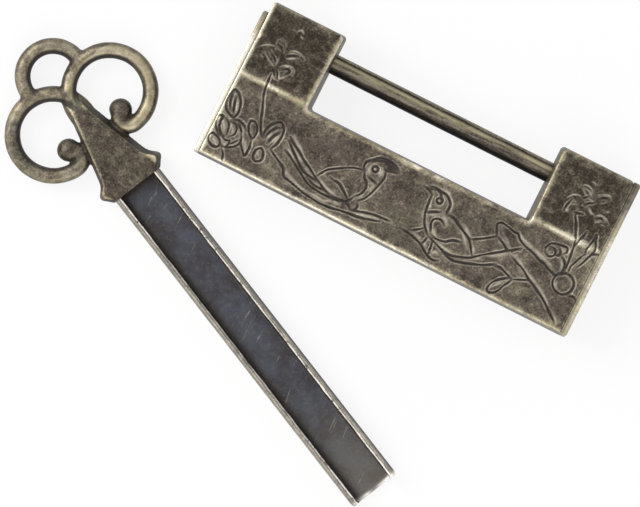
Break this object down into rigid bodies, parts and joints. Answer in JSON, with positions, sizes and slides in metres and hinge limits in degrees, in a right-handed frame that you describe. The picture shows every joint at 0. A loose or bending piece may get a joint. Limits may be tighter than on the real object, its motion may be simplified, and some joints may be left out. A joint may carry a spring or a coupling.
{
  "type": "padlock",
  "caption": "Small traditional horizontal padlock with two square ears, a sliding round bar and bolt, and its long channel key with a scrolled bow.",
  "frame": {"origin": "centre of the body's back face, which the lock lies on", "axes": "+X along the case from the keyhole end to the bolt's end plate, the way the bolt draws out; +Y across the case from the body towards the bar; +Z out of the decorated front face"},
  "size_m": [0.0917, 0.0624, 0.011],
  "materials": {
    "case": "cast, antique bronze, mottled dark with worn pale edges",
    "plates": "antique bronze, worn pale",
    "bar": "antique bronze, rubbed bright along its length",
    "bolt_works": "plain, dull",
    "springs": "plain spring strip",
    "key_bow": "cast, antique bronze, worn pale on its rounds",
    "key_shank": "antique bronze, dark grey channel floor, worn pale rims"
  },
  "bodies": {
    "case": {"case_front": "case", "case_back": "case", "keyhole_plate": "plates"},
    "bolt": {"bolt_end_plate": "plates", "shackle_bar": "bar", "bolt_stem": "bolt_works", "leaf_rivet": "bolt_works"},
    "leaf_upper": {"spring_leaf_upper": "springs"},
    "leaf_lower": {"spring_leaf_lower": "springs"},
    "key": {"key_bow": "key_bow", "key_shank": "key_shank"}
  },
  "joints": [
    {"name": "bolt_slide", "type": "slide", "parent": "case", "child": "bolt", "axis": [1, 0, 0], "range_m": [0, 0.054], "deforming": ["spring_leaf_upper", "spring_leaf_lower"]},
    {"name": "leaf_upper_squeeze", "type": "hinge", "parent": "bolt", "child": "leaf_upper", "pos_m": [-0.0007, 0.00126, 0.0055], "axis": [0, 0, -1], "range_deg": [0, 4.3], "stiffness_Nm_per_rad": 0.1, "springref_deg": -1.72},
    {"name": "leaf_lower_squeeze", "type": "hinge", "parent": "bolt", "child": "leaf_lower", "pos_m": [-0.0007, -0.00126, 0.0055], "axis": [0, 0, 1], "range_deg": [0, 4.3], "stiffness_Nm_per_rad": 0.1, "springref_deg": -1.72},
    {"name": "key_lift", "type": "slide", "parent": "case", "child": "key", "axis": [0, 0, 1], "range_m": [0, 0.05]}
  ],
  "couplings": [
    {"joint": "leaf_lower_squeeze", "follows": "leaf_upper_squeeze", "ratio": 1}
  ]
}
